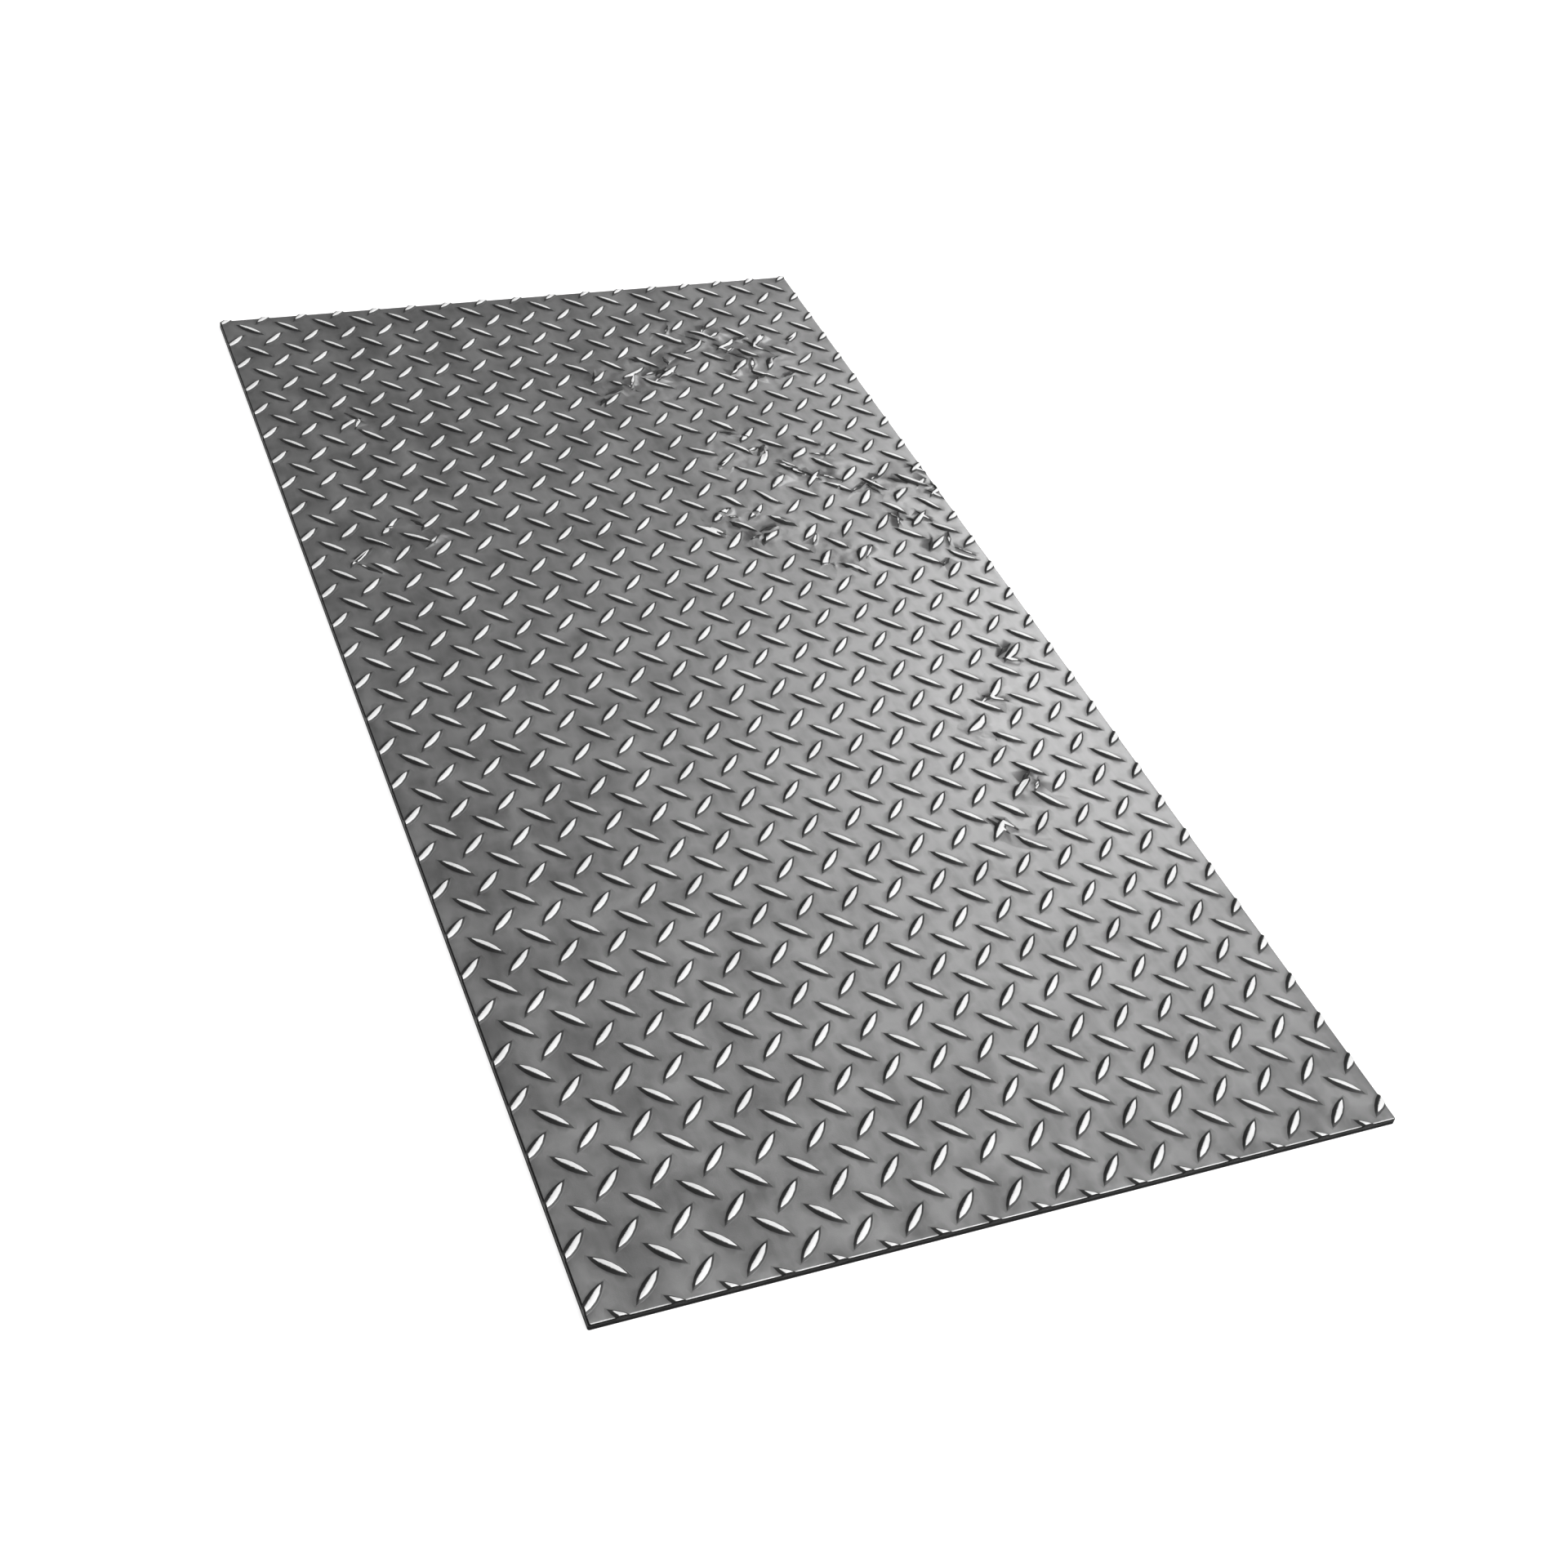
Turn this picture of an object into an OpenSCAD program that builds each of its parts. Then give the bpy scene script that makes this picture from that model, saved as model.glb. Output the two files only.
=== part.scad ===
// Checker steel plate: one sheared panel of rolled steel floor plate, lying flat.
// X runs across the panel, Y along it in the rolling direction, and Z up.
// The origin is the middle of the underside, on the surface that the panel rests on.
// The tread lugs are low rolled relief on the top face and aren't part of this solid.

/* [Panel] */
// Width of the panel
plate_w = 600; // [200:1:1500]
// Length of the panel, along the rolling direction
plate_l = 1200; // [200:1:3000]
// Thickness of the plate between the lugs
plate_t = 6; // [3:0.5:12]

/* [Sheared edges] */
// Radius of the top edge, where the shear rolled the surface over
roll_over_r = 1.2; // [0.4:0.1:1.4]
// Radius of the bottom edge, where the burr was dressed off
bottom_edge_r = 0.4; // [0.2:0.1:1.4]
// Radius of the four corners, seen from above
corner_r = 1.5; // [0.5:0.1:20]

/* [Hidden] */
$fn = 64;
// Length by which each edge outline is extruded past the panel's ends
overrun = 5;

// A strip of the edge outline from z = low to z = high, with both ends drawn in
module strip(across, draw_in, low, high) {
    translate([-across / 2 + draw_in, low]) square([across - 2 * draw_in, high - low]);
}

// The panel seen end on: flat faces, rounded top edges and eased bottom edges
module edge_outline(across) {
    strip(across, 0, bottom_edge_r, plate_t - roll_over_r);
    strip(across, bottom_edge_r, 0, plate_t / 2);
    strip(across, roll_over_r, plate_t / 2, plate_t);
    for (side = [-1, 1]) {
        translate([side * (across / 2 - roll_over_r), plate_t - roll_over_r])
            circle(r = roll_over_r);
        translate([side * (across / 2 - bottom_edge_r), bottom_edge_r])
            circle(r = bottom_edge_r);
    }
}

// The panel seen from above
module plan_outline() {
    square([plate_w - 2 * corner_r, plate_l], center = true);
    square([plate_w, plate_l - 2 * corner_r], center = true);
    for (x_side = [-1, 1], y_side = [-1, 1])
        translate([x_side * (plate_w / 2 - corner_r), y_side * (plate_l / 2 - corner_r)])
            circle(r = corner_r);
}

// The plate is the volume that all three outlines share
module checker_plate() {
    color("#8c8f91") intersection() {
        linear_extrude(plate_t) plan_outline();
        rotate([90, 0, 0])
            linear_extrude(plate_l + 2 * overrun, center = true) edge_outline(plate_w);
        rotate([90, 0, 90])
            linear_extrude(plate_w + 2 * overrun, center = true) edge_outline(plate_l);
    }
}

checker_plate();
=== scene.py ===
import bmesh
import bpy
import math
import random
from mathutils import Matrix, Vector, noise


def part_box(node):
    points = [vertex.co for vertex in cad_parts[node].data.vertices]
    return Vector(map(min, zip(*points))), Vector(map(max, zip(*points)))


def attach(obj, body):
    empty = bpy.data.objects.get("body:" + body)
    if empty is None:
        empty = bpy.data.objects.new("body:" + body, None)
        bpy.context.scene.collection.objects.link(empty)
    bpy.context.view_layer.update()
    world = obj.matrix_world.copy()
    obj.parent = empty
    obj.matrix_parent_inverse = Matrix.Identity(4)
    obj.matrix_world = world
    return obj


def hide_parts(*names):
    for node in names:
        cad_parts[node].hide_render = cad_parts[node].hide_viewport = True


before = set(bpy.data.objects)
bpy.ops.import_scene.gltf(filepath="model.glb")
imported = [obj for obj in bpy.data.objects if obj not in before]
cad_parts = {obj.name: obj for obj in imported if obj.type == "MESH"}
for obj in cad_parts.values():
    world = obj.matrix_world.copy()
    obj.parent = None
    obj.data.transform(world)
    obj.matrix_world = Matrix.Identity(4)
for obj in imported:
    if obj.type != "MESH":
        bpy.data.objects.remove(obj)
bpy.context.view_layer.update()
plate_low, plate_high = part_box("checker_plate")
plate_middle = (plate_low + plate_high) / 2
plate_face = plate_high.z        # the face between the lugs


# ---------------------------------------------------------------------------
# Camera: stands off the front left corner and looks down along the panel.
# ---------------------------------------------------------------------------
aim_forward = 0.166              # of the panel's middle, towards its front edge
aim = Vector((plate_middle.x, plate_middle.y - aim_forward, plate_face))
camera_distance = 1.7035
heading = math.radians(27.85)    # clockwise from +Y
look_down = math.radians(41.39)
roll = math.radians(9.65)

camera_data = bpy.data.cameras.new("camera")
camera_data.sensor_width = 36.0
camera_data.lens = 49.22
camera_data.clip_start = 0.01
camera_data.clip_end = 100.0
camera = bpy.data.objects.new("camera", camera_data)
bpy.context.scene.collection.objects.link(camera)
camera.matrix_world = (
    Matrix.Translation(aim)
    @ Matrix.Rotation(-heading, 4, "Z")
    @ Matrix.Rotation(math.pi / 2 - look_down, 4, "X")
    @ Matrix.Rotation(roll, 4, "Z")
    @ Matrix.Translation((0, 0, camera_distance))
)
bpy.context.scene.camera = camera


# ---------------------------------------------------------------------------
# Tread: the lugs are rolled up out of the plate by a patterned mill roll, in
# two hands that lie at right angles. Plate and lugs are one steel surface.
# ---------------------------------------------------------------------------
pitch_across = 0.0369            # from a lug to the next one of its own hand
pitch_along = 0.0408
first_lug = Vector((plate_low.x + 0.0073, plate_low.y + 0.0167, plate_face))
lug_length = 0.0352              # over the outline that the lug's foot runs out to
lug_width = 0.0093
arc_steps = 6                    # on each side of that outline
lug_rings = (                    # (step in from the last ring, rise above it)
    (0.00030, 0.00000),          # plate
    (0.00050, 0.00014),          # fillet at the foot
    (0.00130, 0.00118),          # flank
    (0.00045, 0.00028),          # shoulder
)
lug_height = sum(rise for _, rise in lug_rings)
cell_swell = 0.0038              # how far a cell's corners move out beside the lug's tips


def lug_cell():
    """A lug that points to +X +Y, with its share of the plate, on z = 0.

    The layer 'climb' is -1 out on the plate, 0 at the lug's foot and 1 on its crown.
    A second layer runs from 0 on the lug's +X side to 1 on its -X side: painted shade and more
    dirt go on the -X side, a painted highlight on the +X side.
    """
    bm = bmesh.new()
    climb = bm.verts.layers.float.new("climb")
    shaded_side = bm.verts.layers.float.new("shaded_side")
    half_length, half_width = lug_length / 2, lug_width / 2
    arc_radius = (half_length**2 + half_width**2) / (2 * half_width)
    tip = bm.verts.new((half_length, 0, 0))
    bmesh.ops.spin(
        bm, geom=[tip], cent=(0, half_width - arc_radius, 0), axis=(0, 0, 1),
        angle=2 * math.asin(half_length / arc_radius), steps=arc_steps,
    )
    bmesh.ops.mirror(bm, geom=bm.verts[:] + bm.edges[:], axis="Y", merge_dist=1e-6)
    bmesh.ops.rotate(bm, verts=bm.verts, matrix=Matrix.Rotation(math.pi / 4, 3, "Z"))
    lug = bmesh.ops.edgeloop_fill(bm, edges=bm.edges)["faces"][0]
    if lug.normal.z < 0:
        lug.normal_flip()
    for step_in, rise in lug_rings:
        bmesh.ops.inset_region(
            bm, faces=[lug], use_boundary=True, use_even_offset=True,
            thickness=step_in, depth=rise,
        )
    for vert in bm.verts:
        vert[climb] = vert.co.z / lug_height
        # 0 on the +X side, where a painted highlight goes, 1 on the -X side, where painted shade
        # goes
        off_axis = (vert.co.y - vert.co.x) / math.sqrt(2)
        vert[shaded_side] = min(1, max(0, 0.5 + off_axis / half_width))
    outline = [edge for edge in bm.edges if edge.is_boundary]
    x, y, swell = pitch_across / 4, pitch_along / 4, cell_swell
    corners = [
        (2 * x, 0), (x + swell, y + swell), (0, 2 * y), (-x + swell, y - swell),
        (-2 * x, 0), (-x - swell, -y - swell), (0, -2 * y), (x - swell, -y + swell),
    ]
    border = [bm.verts.new((*corner, 0)) for corner in corners]
    for vert in border:
        vert[climb] = -1
        vert[shaded_side] = 0.5
    border_edges = [bm.edges.new(pair) for pair in zip(border, border[1:] + border[:1])]
    bmesh.ops.triangle_fill(bm, use_beauty=True, edges=border_edges + outline)
    bmesh.ops.reverse_faces(bm, faces=[face for face in bm.faces if face.normal.z < 0])
    return bm


def lug_pair():
    """One lug of each hand: the pattern that repeats over the plate."""
    bm = lug_cell()
    other_hand = bmesh.ops.duplicate(bm, geom=bm.verts[:] + bm.edges[:] + bm.faces[:])["geom"]
    verts = [part for part in other_hand if isinstance(part, bmesh.types.BMVert)]
    faces = [part for part in other_hand if isinstance(part, bmesh.types.BMFace)]
    bmesh.ops.scale(bm, verts=verts, vec=(-1, 1, 1))
    shaded_side = bm.verts.layers.float["shaded_side"]
    # flipped, so the painted shade stays on the mirrored lug's -X side
    for vert in verts:
        vert[shaded_side] = 1 - vert[shaded_side]
    bmesh.ops.reverse_faces(bm, faces=faces)
    bmesh.ops.translate(bm, verts=verts, vec=(pitch_across / 2, pitch_along / 2, 0))
    mesh = bpy.data.meshes.new("lug_pair")
    bm.to_mesh(mesh)
    bm.free()
    return mesh


def rolled_tread():
    """Lugs in rows and columns, enough to cover the panel with a margin all round."""
    start = first_lug - Vector((pitch_across, pitch_along, 0))
    pair = bpy.data.objects.new("lug_pair", lug_pair())
    bpy.context.scene.collection.objects.link(pair)
    pair.data.transform(Matrix.Translation(start))
    spans = (plate_high.x - start.x, plate_high.y - start.y)
    for axis, (pitch, span) in enumerate(zip((pitch_across, pitch_along), spans)):
        rows = pair.modifiers.new("rows", "ARRAY")
        rows.use_relative_offset = False
        rows.use_constant_offset = True
        rows.constant_offset_displace = [pitch if i == axis else 0 for i in range(3)]
        rows.count = math.ceil(span / pitch) + 1
    evaluated = pair.evaluated_get(bpy.context.evaluated_depsgraph_get())
    bm = bmesh.new()
    bm.from_mesh(evaluated.to_mesh())
    bpy.data.objects.remove(pair)
    bmesh.ops.remove_doubles(bm, verts=bm.verts, dist=1e-5)
    return bm


# ---------------------------------------------------------------------------
# Battered patches: where loads were dropped and dragged, the lugs are bruised
# and pushed out of line, the plate is dented, and burrs join one lug to the next.
# ---------------------------------------------------------------------------
patches = (                      # (x, y, radius), from the panel's middle
    (0.070, 0.425, 0.060),
    (0.150, 0.480, 0.055),
    (0.215, 0.440, 0.060),
    (0.120, 0.290, 0.045),
    (0.110, 0.175, 0.055),
    (0.200, 0.245, 0.060),
    (0.270, 0.190, 0.055),
    (0.170, 0.115, 0.040),
    (0.275, 0.100, 0.035),
    (-0.215, 0.395, 0.025),
    (-0.200, 0.225, 0.030),
    (-0.245, 0.190, 0.025),
    (0.265, -0.060, 0.022),
    (0.225, -0.104, 0.022),
    (0.190, -0.145, 0.026),
    (0.198, -0.219, 0.022),
    (0.165, -0.262, 0.022),
)
push = 0.0065                    # sideways
push_size = 0.028                # across one bend in a pushed lug
dent = 0.0016                    # up and down
dent_size = 0.040
scar_spacing = 0.030             # between scars, on average
largest_face = 0.012             # of the tread's mesh, across its corners
gouge_share = 0.3                # of the scars; the rest are burrs
burr_height = 0.0011
gouged_climb = -0.6              # finish of the steel in a gouge
gouge_half_lengths = (0.006, 0.009)
gouge_half_widths = (0.0025, 0.0040)
burr_half_lengths = (0.007, 0.013)
burr_half_widths = (0.0018, 0.0029)
burr_climb = 0.86                # finish of a burr's top: less rubbed than a crown
scar_leans = (45, 135)           # degrees, in line with the lugs of either hand
scar_lean_spread = 18
scar_reach = 0.85                # how far out in a patch a scar may start
end_taper = 0.45                 # of its half length, at each end of a scar
end_width = 0.4                  # of its width, where a scar starts to run out
side_taper = 0.5                 # of its half width
patch_margin = 0.030             # round a patch, clear of every scar in it
just_over_one = 1.001            # leaves room for rounding at a scar's own outline
random.seed(11)


def battering(place):
    """How badly the plate is battered at a place, from 0 to 1."""
    worst = 0.0
    for x, y, radius in patches:
        away = math.hypot(place.x - plate_middle.x - x, place.y - plate_middle.y - y) / radius
        worst = max(worst, 1 - away**2)
    return worst


def batter(bm):
    """Pushes and dents the lugs in the patches. The layer 'battered' says how badly.

    The push isn't seeded: Blender starts noise_vector from the clock, so it differs on each run.
    """
    battered = bm.verts.layers.float.new("battered")
    for vert in bm.verts:
        amount = battering(vert.co)
        if amount <= 0:
            continue
        vert[battered] = amount
        amount = math.sqrt(amount)
        flat = Vector((vert.co.x, vert.co.y, 0))
        sideways = noise.noise_vector(flat / push_size) * push * amount
        upwards = dent * amount * noise.noise(flat / dent_size)
        vert.co += Vector((sideways.x, sideways.y, upwards))


def crosses(face, middle, way, half):
    """Whether a face reaches into the band that lies that far to each side of the middle."""
    offsets = [(vert.co - middle).dot(way) for vert in face.verts]
    return min(offsets) < half and max(offsets) > -half


def parts_of(faces):
    """The faces with their corners and edges, each once."""
    return [*{v for f in faces for v in f.verts}, *{e for f in faces for e in f.edges}, *faces]


def cut(bm, faces, way, place):
    """Cuts the faces along an upright plane, and gives back all the faces that they now are."""
    geom = bmesh.ops.bisect_plane(
        bm, geom=parts_of(faces), dist=1e-6, plane_no=way, plane_co=place,
    )["geom"]
    return [part for part in geom if isinstance(part, bmesh.types.BMFace)]


def scar(bm, middle, along, half_length, half_width, gouged):
    """Gouges a short groove through the lugs, or raises a burr that joins one to the next."""
    climb = bm.verts.layers.float["climb"]
    across = Vector((-along.y, along.x, 0))
    faces = [
        face for face in bm.faces
        if (face.verts[0].co - middle).length < half_length + largest_face
        and crosses(face, middle, across, half_width) and crosses(face, middle, along, half_length)
    ]
    for share in (-1, -1 + side_taper, 1 - side_taper, 1):
        faces = cut(bm, faces, across, middle + across * half_width * share)
    faces = [
        face for face in faces
        if abs((face.calc_center_median() - middle).dot(across)) < half_width
    ]
    for share in (-1, -1 + end_taper, 0, 1 - end_taper, 1):
        faces = cut(bm, faces, along, middle + along * half_length * share)
    for vert in {vert for face in faces for vert in face.verts}:
        offset = vert.co - middle
        beside = abs(offset.dot(across)) / half_width
        ahead = abs(offset.dot(along)) / half_length
        if max(beside, ahead) > just_over_one:
            continue
        share = min(1, max(0, 1 - beside) / side_taper) * min(1, max(0, 1 - ahead) / end_taper)
        narrowing = (1 - end_width) * min(1, ahead / (1 - end_taper))
        vert.co -= across * offset.dot(across) * narrowing
        if gouged:
            vert.co.z -= max(0, vert.co.z - plate_face) * share
            vert[climb] = min(vert[climb], vert[climb] + (gouged_climb - vert[climb]) * share)
        else:
            vert.co.z = max(vert.co.z, plate_face + burr_height * share)
            vert[climb] = max(vert[climb], burr_climb * share)


def scar_patches(bm):
    """Sets scars at random over the patches, roughly in line with the lugs of either hand.

    They are cut on a copy of the patches alone, which is far quicker than on the whole tread.
    """
    bm.faces.index_update()
    hurt = {
        face.index for face in bm.faces if any(
            math.hypot(*(face.verts[0].co - plate_middle - Vector((x, y, 0))).xy)
            < radius + patch_margin
            for x, y, radius in patches
        )
    }
    worked = bm.copy()
    sound_faces = [face for face in worked.faces if face.index not in hurt]
    bmesh.ops.delete(worked, geom=sound_faces, context="FACES")
    hurt_faces = [face for face in bm.faces if face.index in hurt]
    bmesh.ops.delete(bm, geom=hurt_faces, context="FACES")
    for x, y, radius in patches:
        for _ in range(round(math.pi * (radius / scar_spacing) ** 2)):
            away = radius * scar_reach * math.sqrt(random.random())
            turn = random.uniform(0, math.tau)
            middle = plate_middle + Vector(
                (x + away * math.cos(turn), y + away * math.sin(turn), 0)
            )
            middle.z = plate_face
            lean = math.radians(random.choice(scar_leans) + random.gauss(0, scar_lean_spread))
            along = Vector((math.cos(lean), math.sin(lean), 0))
            gouged = random.random() < gouge_share
            half_length = random.uniform(*(gouge_half_lengths if gouged else burr_half_lengths))
            half_width = random.uniform(*(gouge_half_widths if gouged else burr_half_widths))
            scar(worked, middle, along, half_length, half_width, gouged)
    bmesh.ops.dissolve_degenerate(worked, edges=worked.edges, dist=1e-6)
    worked_mesh = bpy.data.meshes.new("worked")
    worked.to_mesh(worked_mesh)
    worked.free()
    bm.from_mesh(worked_mesh)
    bpy.data.meshes.remove(worked_mesh)
    seam = [vert for vert in bm.verts if vert.is_boundary]
    bmesh.ops.remove_doubles(bm, verts=seam, dist=1e-6)


# ---------------------------------------------------------------------------
# Sheared edges: the panel is cut on a guillotine. The blade rolls the top edge
# over, and the burr under the bottom edge has been dressed off.
# ---------------------------------------------------------------------------
corner_radius = 0.0015
roll_over_radius = 0.0012
bottom_edge_radius = 0.0004
roll_over_steps = 4
bottom_steps = 2
dark_from = math.radians(36)     # lean of the roll-over below which it is as dark as the wall
left_painted_shade_from = 0.0             # on the left edge the whole roll-over is as dark as the wall: painted shade along that edge
edge_band = 0.022                # as far in as the cell of a cut lug can reach
cut_directions = 16              # four to each rounded corner
core_half = (plate_high - plate_low) / 2 - Vector((corner_radius, corner_radius, 0))
wall_slot, underside_slot = 1, 2    # in the plate's list of materials


def edge_distance(place):
    """How far inside the panel's outline a place is, and the way out."""
    x, y = place.x - plate_middle.x, place.y - plate_middle.y
    over = Vector((max(abs(x) - core_half.x, 0), max(abs(y) - core_half.y, 0), 0))
    if over.length > 0:
        way_out = Vector((math.copysign(over.x, x), math.copysign(over.y, y), 0)).normalized()
        return corner_radius - over.length, way_out
    return corner_radius + min(core_half.x - abs(x), core_half.y - abs(y)), Vector((0, 0, 0))


def cut_round(bm, geom, inside, trim):
    """Cuts along the panel's outline, that far inside it."""
    for number in range(cut_directions):
        turn = math.tau * number / cut_directions
        way_out = Vector((math.cos(turn), math.sin(turn), 0))
        reach = abs(way_out.x) * core_half.x + abs(way_out.y) * core_half.y
        reach = reach + corner_radius - inside
        geom = bmesh.ops.bisect_plane(
            bm, geom=geom, dist=1e-7, plane_no=way_out,
            plane_co=plate_middle + way_out * reach, clear_outer=trim,
        )["geom"]
    return geom


def shear(bm):
    """Trims the tread to the panel, rolls its edge over and adds the walls and underside."""
    faces = [f for f in bm.faces if edge_distance(f.calc_center_median())[0] < edge_band]
    geom = cut_round(bm, parts_of(faces), 0, trim=True)
    for step in range(roll_over_steps):
        lean = math.pi / 2 * step / roll_over_steps
        geom = cut_round(bm, geom, roll_over_radius * (1 - math.sin(lean)), trim=False)
    for face in bm.faces:
        middle = face.calc_center_median()
        inside, _ = edge_distance(middle)
        on_left = middle.x < plate_middle.x - core_half.x
        # on the left edge the whole roll-over takes the wall's dark finish, as painted shade
        if inside < roll_over_radius * (1 - math.sin(left_painted_shade_from if on_left else dark_from)):
            face.material_index = wall_slot
    for vert in bm.verts:
        inside, _ = edge_distance(vert.co)
        if inside < roll_over_radius:
            sine = min(1, 1 - inside / roll_over_radius)
            vert.co.z -= roll_over_radius * (1 - math.sqrt(1 - sine**2))
    rim = [edge for edge in bm.edges if edge.is_boundary]
    gone_in = 0.0
    for step in range(bottom_steps + 1):
        lean = math.pi / 2 * step / bottom_steps
        wall = bmesh.ops.extrude_edge_only(bm, edges=rim)["geom"]
        for face in wall:
            if isinstance(face, bmesh.types.BMFace):
                face.material_index = wall_slot
        rim = [part for part in wall if isinstance(part, bmesh.types.BMEdge) and part.is_boundary]
        step_in = bottom_edge_radius * (1 - math.cos(lean)) - gone_in
        gone_in += step_in
        for vert in {vert for edge in rim for vert in edge.verts}:
            _, way_out = edge_distance(vert.co)
            vert.co -= way_out * step_in
            vert.co.z = plate_low.z + bottom_edge_radius * (1 - math.sin(lean))
    for face in bmesh.ops.edgeloop_fill(bm, edges=rim)["faces"]:
        face.material_index = underside_slot


plate_bm = rolled_tread()
batter(plate_bm)
scar_patches(plate_bm)
shear(plate_bm)
bmesh.ops.recalc_face_normals(plate_bm, faces=plate_bm.faces)
for face in plate_bm.faces:
    face.smooth = face.material_index != underside_slot
plate_mesh = bpy.data.meshes.new("rolled_plate")
plate_bm.to_mesh(plate_mesh)
plate_bm.free()
plate = bpy.data.objects.new("rolled_plate", plate_mesh)
bpy.context.scene.collection.objects.link(plate)
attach(plate, "root")
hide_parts("checker_plate")


# ---------------------------------------------------------------------------
# Finish of the tread: hot rolled steel, dull and mottled. The lugs are rubbed white
# on top, and painted lighter further down their +X side, a painted highlight. Round them
# the plate is darkened by dirt and painted shade, with more painted shade on their -X side.
# ---------------------------------------------------------------------------
crown_ragged = 0.06              # of a lug's climb, up and down, with the grain
painted_light_shift = (0.32, -0.22)      # of the rubbed part: a painted highlight further down a lug's +X side, painted shade narrowing it on its -X side
crown_from, crown_full = 0.88, 0.99
crown_grays = (0.62, 0.73)
crown_metallic = 0.35
halo_from = -0.42                # climb at which the dirt and painted shade round a lug start
halo_share = (0.18, 0.38)        # of dirt and painted shade, on a lug's +X side and on its -X side; the extra on the -X side is painted shade
foot_climb, foot_share = 0.08, 0.54     # more dirt and painted shade, up the foot of the flank
dirt_and_shade_gray = 0.018
dirt_roughness = 0.2             # added where the dirt and painted shade are thickest
plate_grays = (0.176, 0.30)
plate_roughness = (0.36, 0.46)
streak_gray, streak_share = 0.37, 0.25
crumple_scale, crumple_depth = 60.0, 0.0018
grain_depth = 0.00008


def add_node(tree, kind, inputs=None, **settings):
    """Adds a node. Each input is given a value, or an output to link from."""
    new = tree.nodes.new(kind)
    for name, value in settings.items():
        setattr(new, name, value)
    for name, value in (inputs or {}).items():
        if isinstance(value, bpy.types.NodeSocket):
            tree.links.new(value, new.inputs[name])
        else:
            new.inputs[name].default_value = value
    return new


def spread(tree, value, low, high, to_low=0.0, to_high=1.0, smooth=False):
    """Maps a value that runs from low to high on to another range."""
    return add_node(
        tree, "ShaderNodeMapRange", {
            "Value": value, "From Min": low, "From Max": high,
            "To Min": to_low, "To Max": to_high,
        }, interpolation_type="SMOOTHSTEP" if smooth else "LINEAR",
    ).outputs["Result"]


def math_of(tree, operation, first, second):
    return add_node(tree, "ShaderNodeMath", {0: first, 1: second}, operation=operation).outputs[0]


def blend(tree, share, first, second):
    """A colour part of the way from the first to the second."""
    mix = add_node(tree, "ShaderNodeMix", {0: share, 6: first, 7: second}, data_type="RGBA")
    return mix.outputs[2]


def gray(value):
    return (value, value, value, 1)


def steel_skin_group():
    """Mottle in the mill scale, streaks from the rolls and fine grain, on a steel surface."""
    group = bpy.data.node_groups.new("steel_skin", "ShaderNodeTree")
    for name, default in (("Mottle Scale", 25.0), ("Streak Scale", 120.0), ("Grain Scale", 900.0)):
        socket = group.interface.new_socket(name, in_out="INPUT", socket_type="NodeSocketFloat")
        socket.default_value = default
    for name in ("Mottle", "Streaks", "Grain"):
        group.interface.new_socket(name, in_out="OUTPUT", socket_type="NodeSocketFloat")
    given = add_node(group, "NodeGroupInput").outputs
    place = add_node(group, "ShaderNodeTexCoord").outputs["Object"]
    mottle = add_node(group, "ShaderNodeTexNoise", {
        "Vector": place, "Scale": given["Mottle Scale"],
        "Detail": 3.0, "Roughness": 0.55, "Distortion": 0.3,
    })
    stretched = add_node(group, "ShaderNodeMapping", {"Vector": place, "Scale": (1, 0.04, 0.3)})
    streaks = add_node(group, "ShaderNodeTexNoise", {
        "Vector": stretched.outputs[0], "Scale": given["Streak Scale"], "Detail": 2.0,
    })
    grain = add_node(group, "ShaderNodeTexNoise", {
        "Vector": place, "Scale": given["Grain Scale"], "Detail": 3.0, "Roughness": 0.6,
    })
    add_node(group, "NodeGroupOutput", {
        "Mottle": spread(group, mottle.outputs["Fac"], 0.3, 0.7),
        "Streaks": spread(group, streaks.outputs["Fac"], 0.3, 0.7),
        "Grain": grain.outputs["Fac"],
    })
    return group


def steel_material(name):
    """A steel material with the skin group in it, ready for its own colours."""
    material = bpy.data.materials.new(name)
    material.use_nodes = True
    tree = material.node_tree
    skin = add_node(tree, "ShaderNodeGroup", node_tree=steel_skin)
    return material, tree, tree.nodes["Principled BSDF"], skin


steel_skin = steel_skin_group()

rolled_steel, tree, shader, skin = steel_material("rolled_steel")
climb = add_node(tree, "ShaderNodeAttribute", attribute_name="climb").outputs["Fac"]
shaded_side = add_node(tree, "ShaderNodeAttribute", attribute_name="shaded_side").outputs["Fac"]
battered = add_node(tree, "ShaderNodeAttribute", attribute_name="battered").outputs["Fac"]
mottle, streaks, grain = (skin.outputs[name] for name in ("Mottle", "Streaks", "Grain"))
ragged = spread(tree, grain, 0, 1, -crown_ragged, crown_ragged)
# painted highlight and shade: the rubbed white reaches further down the +X flank and less far down
# the -X flank
painted_light_offset = spread(tree, shaded_side, 0, 1, *painted_light_shift)
worn_climb = math_of(tree, "ADD", math_of(tree, "ADD", climb, ragged), painted_light_offset)
crown = spread(tree, worn_climb, crown_from, crown_full, smooth=True)
# painted shade mixed with real dirt: a soft dark ring round each lug's foot, like a soft shadow,
# and a dark foot of the flank, most of it on the -X side
shade_weighted = spread(tree, shaded_side, 0, 1, *halo_share)
halo = math_of(tree, "MULTIPLY", spread(tree, climb, halo_from, 0.0), shade_weighted)
foot = spread(tree, climb, 0.0, foot_climb, 0.0, foot_share)
dirt_and_shade = math_of(tree, "ADD", halo, foot)
plain = blend(tree, mottle, *(gray(value) for value in plate_grays))
streak = spread(tree, streaks, 0, 1, 0.0, streak_share)
streaked = blend(tree, streak, plain, gray(streak_gray))
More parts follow.
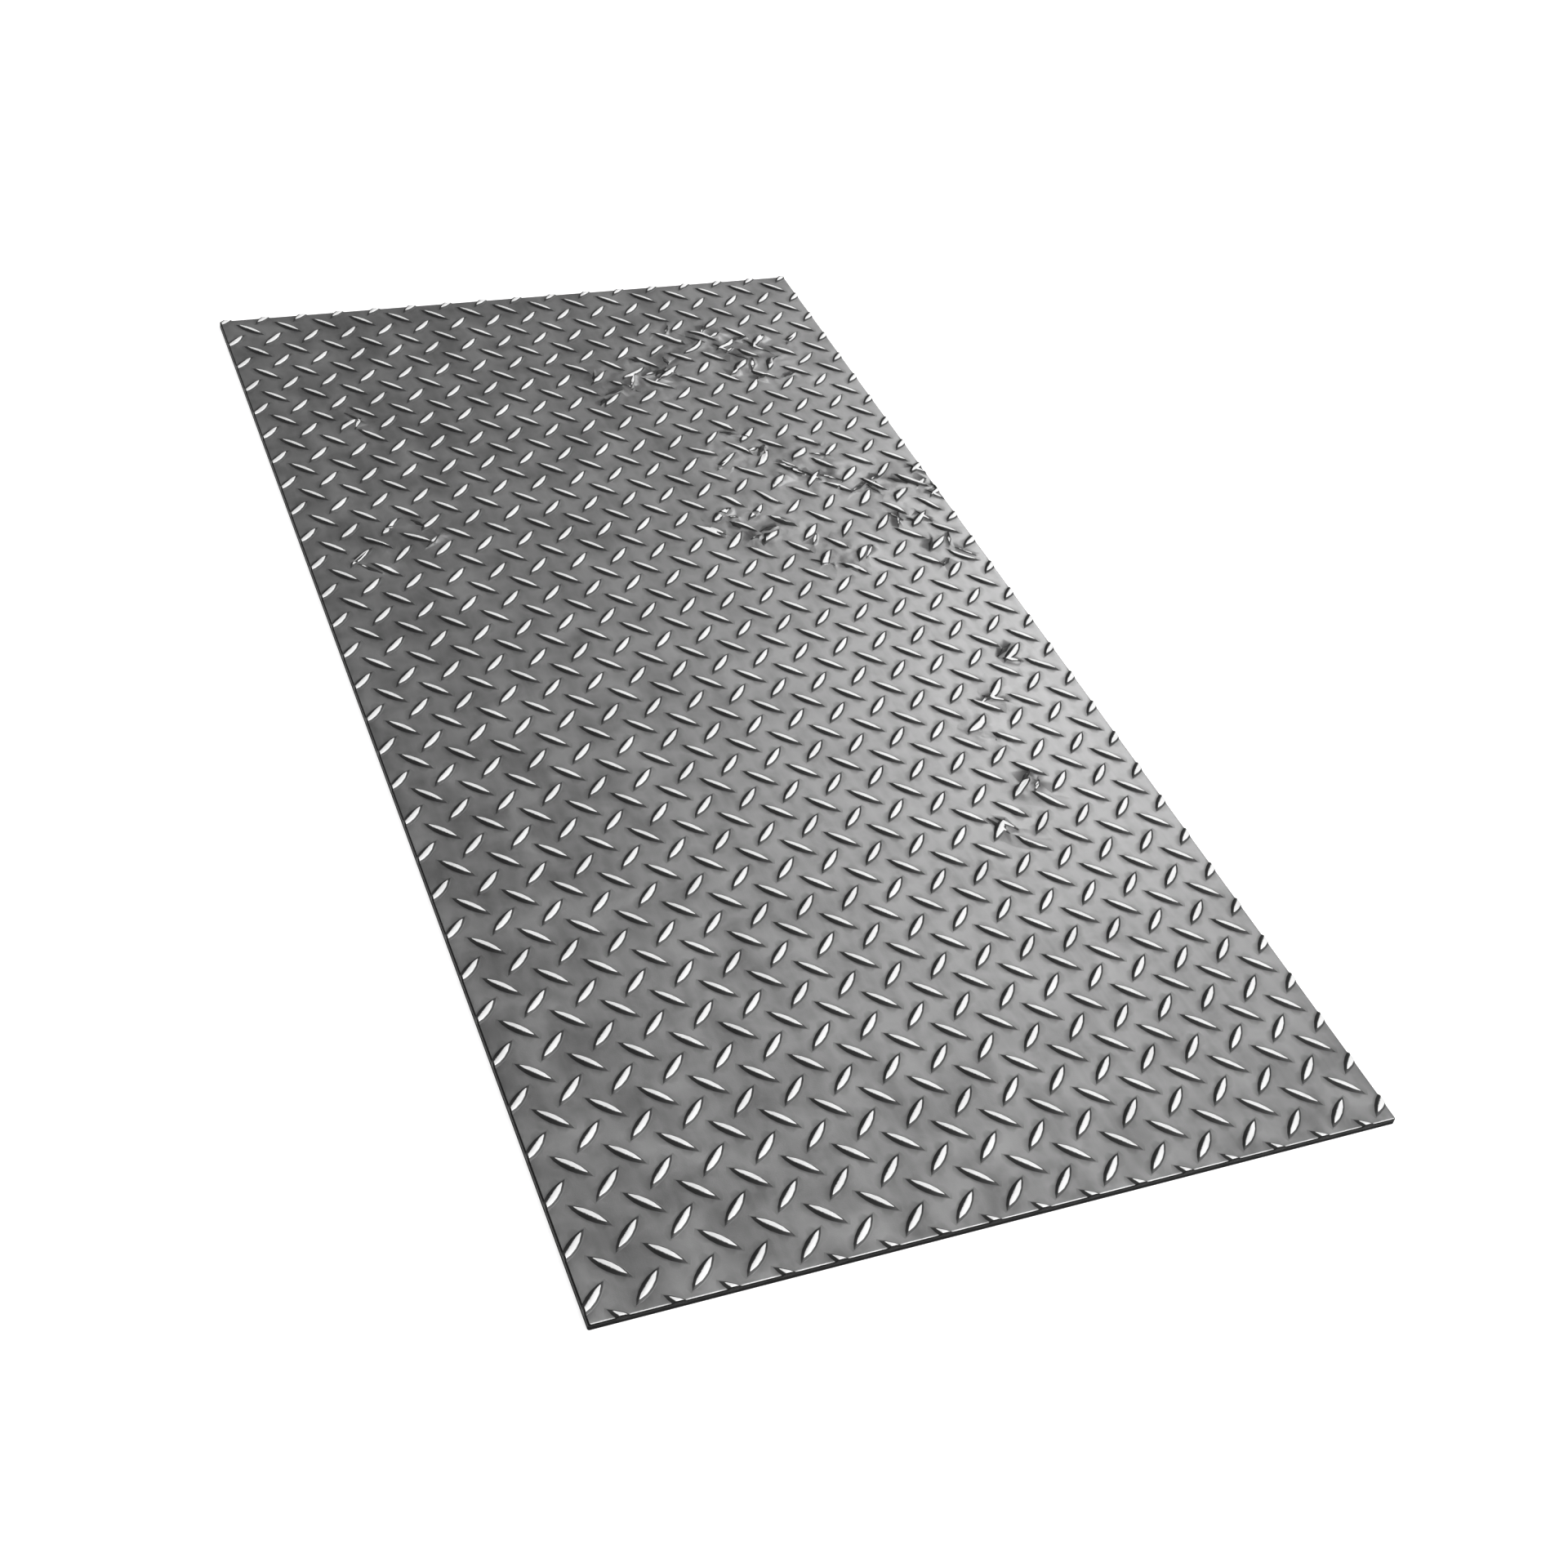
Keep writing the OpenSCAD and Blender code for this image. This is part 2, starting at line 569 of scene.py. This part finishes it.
# the plate darkened by dirt and by painted shade
dirt_and_shade_darkened = blend(tree, dirt_and_shade, streaked, gray(dirt_and_shade_gray))
rubbed = blend(tree, mottle, *(gray(value) for value in crown_grays))
tree.links.new(blend(tree, crown, dirt_and_shade_darkened, rubbed), shader.inputs["Base Color"])
tree.links.new(spread(tree, crown, 0, 1, 1.0, crown_metallic), shader.inputs["Metallic"])
dull = spread(tree, mottle, 0, 1, *plate_roughness)
duller = math_of(tree, "ADD", dull, spread(tree, dirt_and_shade, 0, 1, 0, dirt_roughness))
tree.links.new(duller, shader.inputs["Roughness"])
crumple = add_node(tree, "ShaderNodeTexNoise", {
    "Vector": add_node(tree, "ShaderNodeTexCoord").outputs["Object"],
    "Scale": crumple_scale, "Detail": 1.0,
})
crumpled = add_node(tree, "ShaderNodeBump", {
    "Height": math_of(tree, "MULTIPLY", crumple.outputs["Fac"], battered),
    "Distance": crumple_depth,
})
grained = add_node(tree, "ShaderNodeBump", {
    "Height": grain, "Distance": grain_depth, "Normal": crumpled.outputs["Normal"],
})
tree.links.new(grained.outputs["Normal"], shader.inputs["Normal"])
plate_mesh.materials.append(rolled_steel)


# ---------------------------------------------------------------------------
# Finish of the sheared edges: bare when cut, since then gone almost black. The
# blade burnished the upper part of the wall, and the steel tore below it.
# ---------------------------------------------------------------------------
burnish_from, burnish_full = plate_low.z + 0.0036, plate_low.z + 0.0042
burnish_waviness = 0.0012        # up and down, of where the burnish starts
burnish_gray = 0.011
torn_grays = (0.003, 0.009)
wall_roughness = (0.75, 0.45)    # torn, burnished
torn_depth = 0.0003

sheared_steel, tree, shader, skin = steel_material("sheared_steel")
skin.inputs["Mottle Scale"].default_value = 60.0
height = add_node(tree, "ShaderNodeSeparateXYZ", {
    "Vector": add_node(tree, "ShaderNodeTexCoord").outputs["Object"],
}).outputs["Z"]
waves = math_of(tree, "MULTIPLY", skin.outputs["Mottle"], burnish_waviness)
wavy = math_of(tree, "ADD", height, waves)
burnish = spread(tree, wavy, burnish_from, burnish_full, smooth=True)
torn = blend(tree, skin.outputs["Grain"], *(gray(value) for value in torn_grays))
tree.links.new(blend(tree, burnish, torn, gray(burnish_gray)), shader.inputs["Base Color"])
tree.links.new(spread(tree, burnish, 0, 1, *wall_roughness), shader.inputs["Roughness"])
shader.inputs["Metallic"].default_value = 0.7
shader.inputs["Specular IOR Level"].default_value = 0.1
torn_relief = add_node(tree, "ShaderNodeBump", {
    "Height": skin.outputs["Grain"], "Distance": torn_depth,
})
tree.links.new(torn_relief.outputs["Normal"], shader.inputs["Normal"])
plate_mesh.materials.append(sheared_steel)


# ---------------------------------------------------------------------------
# Finish of the underside: flat, as the plain lower roll of the mill left it, with
# the mill scale still on it.
# ---------------------------------------------------------------------------
scale_grays = (0.09, 0.17)
scale_streak_gray, scale_streak_share = 0.24, 0.35
scale_roughness = (0.55, 0.42)
scale_depth = 0.0001

scaled_steel, tree, shader, skin = steel_material("scaled_steel")
skin.inputs["Mottle Scale"].default_value = 14.0
plain = blend(tree, skin.outputs["Mottle"], *(gray(value) for value in scale_grays))
streak = spread(tree, skin.outputs["Streaks"], 0, 1, 0.0, scale_streak_share)
streaked = blend(tree, streak, plain, gray(scale_streak_gray))
tree.links.new(streaked, shader.inputs["Base Color"])
uneven = spread(tree, skin.outputs["Mottle"], 0, 1, *scale_roughness)
tree.links.new(uneven, shader.inputs["Roughness"])
shader.inputs["Metallic"].default_value = 0.85
scale_relief = add_node(tree, "ShaderNodeBump", {
    "Height": skin.outputs["Grain"], "Distance": scale_depth,
})
tree.links.new(scale_relief.outputs["Normal"], shader.inputs["Normal"])
plate_mesh.materials.append(scaled_steel)


# ---------------------------------------------------------------------------
# Studio: a plain pale floor of translucent white sheet, lit from below as well, under
# soft square lamps.
# ---------------------------------------------------------------------------
floor_half_size = 20
floor_gap = 0.0005               # under the panel
floor_gray, floor_glow = 0.45, 0.75
room_gray, backdrop_gray = 0.35, 1.0    # the room as the panel sees it and as the camera does

floor_bm = bmesh.new()
bmesh.ops.create_grid(floor_bm, x_segments=1, y_segments=1, size=floor_half_size)
bmesh.ops.translate(floor_bm, verts=floor_bm.verts, vec=(0, 0, plate_low.z - floor_gap))
floor_mesh = bpy.data.meshes.new("floor")
floor_bm.to_mesh(floor_mesh)
floor_bm.free()
floor = bpy.data.objects.new("floor", floor_mesh)
bpy.context.scene.collection.objects.link(floor)
floor_sheet = bpy.data.materials.new("floor_sheet")
floor_sheet.use_nodes = True
shader = floor_sheet.node_tree.nodes["Principled BSDF"]
shader.inputs["Base Color"].default_value = gray(floor_gray)
shader.inputs["Roughness"].default_value = 0.9
shader.inputs["Emission Color"].default_value = gray(1.0)
shader.inputs["Emission Strength"].default_value = floor_glow
floor_mesh.materials.append(floor_sheet)

world = bpy.data.worlds.new("studio")
world.use_nodes = True
seen = add_node(world.node_tree, "ShaderNodeLightPath").outputs["Is Camera Ray"]
room = blend(world.node_tree, seen, gray(room_gray), gray(backdrop_gray))
world.node_tree.links.new(room, world.node_tree.nodes["Background"].inputs["Color"])
bpy.context.scene.world = world
bpy.context.scene.view_settings.view_transform = "Standard"


def softbox(name, compass, height_angle, distance, size, power):
    """A square lamp that faces the panel from a compass direction, clockwise from +Y."""
    lamp_data = bpy.data.lights.new(name, "AREA")
    lamp_data.size = size
    lamp_data.energy = power
    lamp = bpy.data.objects.new(name, lamp_data)
    bpy.context.scene.collection.objects.link(lamp)
    compass, height_angle = math.radians(compass), math.radians(height_angle)
    toward = Vector((
        math.sin(compass) * math.cos(height_angle),
        math.cos(compass) * math.cos(height_angle),
        math.sin(height_angle),
    ))
    facing = toward.to_track_quat("Z", "Y").to_matrix().to_4x4()
    lamp.matrix_world = Matrix.Translation(toward * distance) @ facing


softbox("key", compass=138, height_angle=57, distance=7.5, size=5.2, power=615)
softbox("gloss", compass=46, height_angle=34, distance=3.0, size=1.0, power=11.2)
softbox("gloss_far", compass=39, height_angle=33.3, distance=6.2, size=2.4, power=33.6)
softbox("fill", compass=315, height_angle=32, distance=5.0, size=3.0, power=38)
